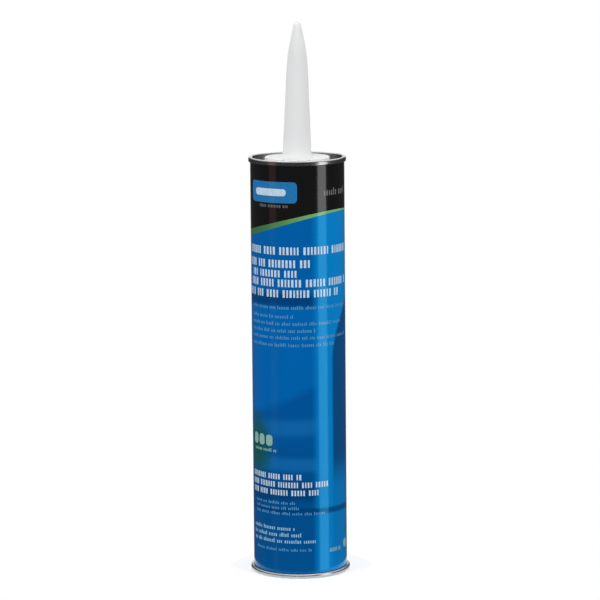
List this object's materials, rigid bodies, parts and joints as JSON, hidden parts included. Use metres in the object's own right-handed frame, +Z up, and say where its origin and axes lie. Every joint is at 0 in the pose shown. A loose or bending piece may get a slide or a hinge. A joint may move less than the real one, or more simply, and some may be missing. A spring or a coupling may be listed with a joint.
{
  "type": "caulk tube",
  "caption": "Round caulk cartridge with a printed wrap, a rolled metal foot, a seamed metal end with a tapered plastic nozzle, and a ribbed piston that slides up inside it.",
  "frame": {"origin": "centre of the rolled foot's underside, on the cartridge's axis", "axes": "+Z up along the cartridge's axis to the nozzle's tip; -Y is the front, where the printed panel is; +X is to the right of someone who looks at the front"},
  "size_m": [0.0526, 0.0526, 0.2888],
  "materials": {
    "wound_board": "matte wound board, foil lined inside",
    "printed_paper": "gloss print, black and deep blue",
    "tinplate": "bright tinplate",
    "nozzle_plastic": "satin, slightly translucent",
    "foil": "bright foil",
    "piston_plastic": "satin",
    "paste": "soft white paste"
  },
  "bodies": {
    "cartridge": {"body_tube": "wound_board", "label": "printed_paper", "top_end": "tinplate", "foot_ring": "tinplate", "nozzle": "nozzle_plastic", "inner_seal": "foil", "sealant": "paste"},
    "plunger": {"piston": "piston_plastic"}
  },
  "joints": [
    {"name": "plunger_slide", "type": "slide", "parent": "cartridge", "child": "plunger", "axis": [0, 0, 1], "range_m": [0, 0.1849], "deforming": ["sealant"]}
  ]
}
